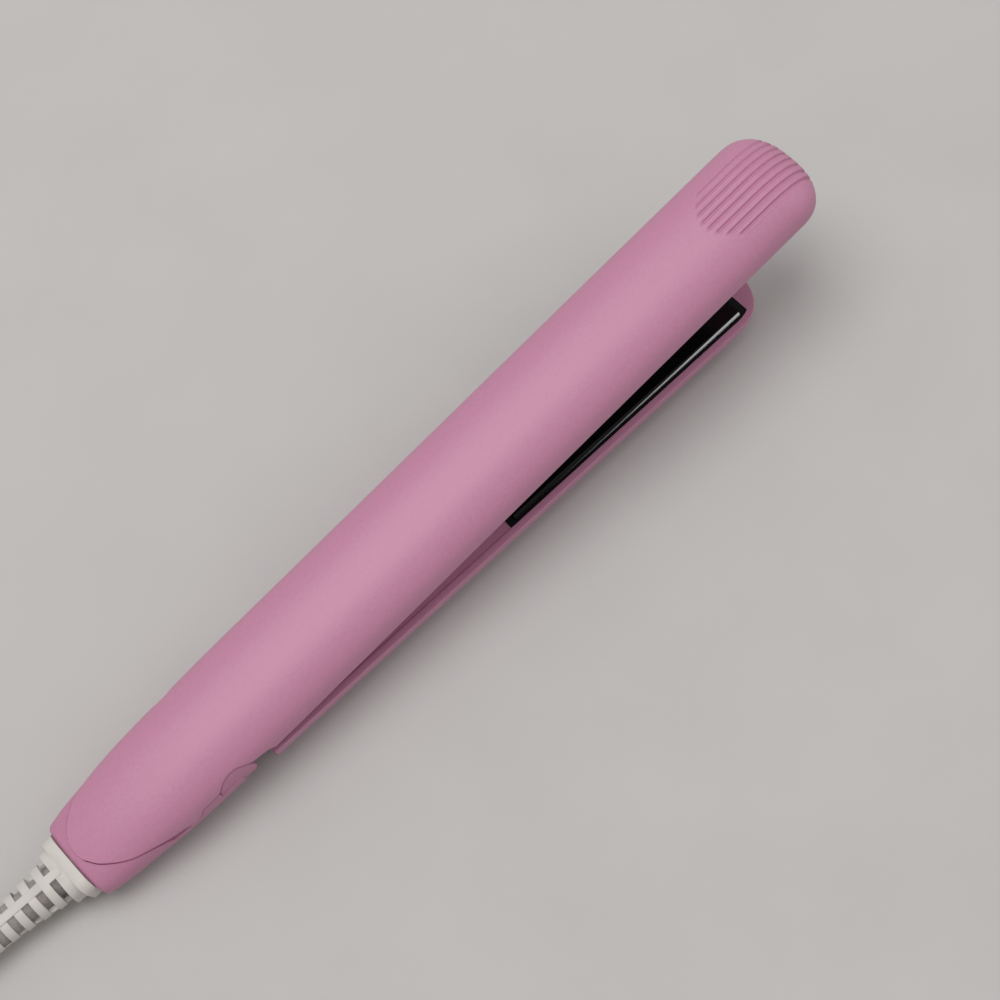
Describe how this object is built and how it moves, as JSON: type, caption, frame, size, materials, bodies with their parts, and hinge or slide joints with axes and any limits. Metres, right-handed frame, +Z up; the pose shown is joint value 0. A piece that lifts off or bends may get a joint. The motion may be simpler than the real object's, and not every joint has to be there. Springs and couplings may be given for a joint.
{
  "type": "mini hair straightener",
  "caption": "Slim two-arm hair straightener, hinged near the tail and sprung open, with floating heater plates, a finger-grooved tip, a ladder strain relief and a put-away cord.",
  "frame": {"origin": "on the surface the lower arm lies on, under the middle of the object without its free cord", "axes": "+X from the tail towards the tips, +Z up, +Y to the left seen from the tail"},
  "size_m": [0.36, 0.0471, 0.0381],
  "materials": {
    "pink_soft_touch": "satin soft-touch, fine grain",
    "pink_inner": "matte",
    "pink_tail": "satin soft-touch",
    "black_frame": "matte, heat resistant",
    "plate_coating": "gloss ceramic coating with bare bevel",
    "steel": "bright",
    "spring_steel": "drawn wire",
    "white_sleeve": "matte, soft",
    "white_jacket": "matte",
    "white_plug": "semi-gloss",
    "plug_brass": "nickel-free, drawn",
    "nylon_natural": "matte",
    "switch_black": "matte",
    "switch_knob": "matte",
    "lamp_red": "clear tinted",
    "heater_foil": "polyimide film over metal",
    "mica": "mica sheet",
    "wire_silicone": "matte silicone",
    "fuse_metal": "drawn case",
    "pom": "self-lubricating"
  },
  "bodies": {
    "body": {"top_shell": "pink_soft_touch", "tail_cover": "pink_tail", "upper_insert": "pink_inner", "upper_tip_insert": "pink_inner", "upper_plate_frame": "black_frame", "hinge_pin": "steel", "switch_body": "switch_black", "indicator_lamp": "lamp_red", "strain_relief": "white_sleeve", "cord_inner": "white_jacket", "cord_clamp": "nylon_natural", "clamp_screws": "steel", "tail_screws": "steel", "upper_insert_screws": "steel", "power_wires": "wire_silicone", "hinge_wires": "wire_silicone", "upper_crimps": "nylon_natural", "thermal_fuse": "fuse_metal", "upper_heat_shield": "mica", "upper_plate_spring_rear": "spring_steel", "upper_plate_spring_front": "spring_steel", "cord": "white_jacket", "cord_hank": "white_jacket", "cord_end": "white_jacket", "cord_tie": "white_sleeve", "plug_body": "white_plug", "plug_blades": "plug_brass"},
    "switch": {"switch_knob": "switch_knob"},
    "upper_plate": {"upper_plate": "plate_coating", "upper_heater": "heater_foil", "upper_heater_clip": "spring_steel", "upper_heater_leads": "wire_silicone"},
    "lower_arm": {"lower_shell": "pink_soft_touch", "lower_insert": "pink_inner", "lower_plate_frame": "black_frame", "hinge_bushes": "pom", "opening_spring": "spring_steel", "lower_insert_screws": "steel", "lower_wires": "wire_silicone", "lower_crimps": "nylon_natural", "lower_heat_shield": "mica", "lower_plate_springs": "spring_steel"},
    "lower_plate": {"lower_plate": "plate_coating", "lower_heater": "heater_foil", "lower_heater_clip": "spring_steel", "lower_heater_leads": "wire_silicone"}
  },
  "joints": [
    {"name": "arm_hinge", "type": "hinge", "parent": "body", "child": "lower_arm", "pos_m": [-0.04822, 0, 0.0096], "axis": [0, -1, 0], "range_deg": [0, 7.6], "stiffness_Nm_per_rad": 1, "springref_deg": -20.05, "deforming": ["opening_spring"]},
    {"name": "switch_slide", "type": "slide", "parent": "body", "child": "switch", "axis": [0.9912, 0, 0.1323], "range_m": [0, 0.0025]},
    {"name": "upper_plate_float", "type": "slide", "parent": "body", "child": "upper_plate", "axis": [-0.1323, 0, 0.9912], "range_m": [0, 0.0005], "stiffness_N_per_m": 3000, "springref_m": -0.0003, "deforming": ["upper_plate_spring_rear", "upper_plate_spring_front"]},
    {"name": "lower_plate_float", "type": "slide", "parent": "lower_arm", "child": "lower_plate", "axis": [0, 0, -1], "range_m": [0, 0.0005], "stiffness_N_per_m": 3000, "springref_m": -0.0003, "deforming": ["lower_plate_springs"]}
  ]
}
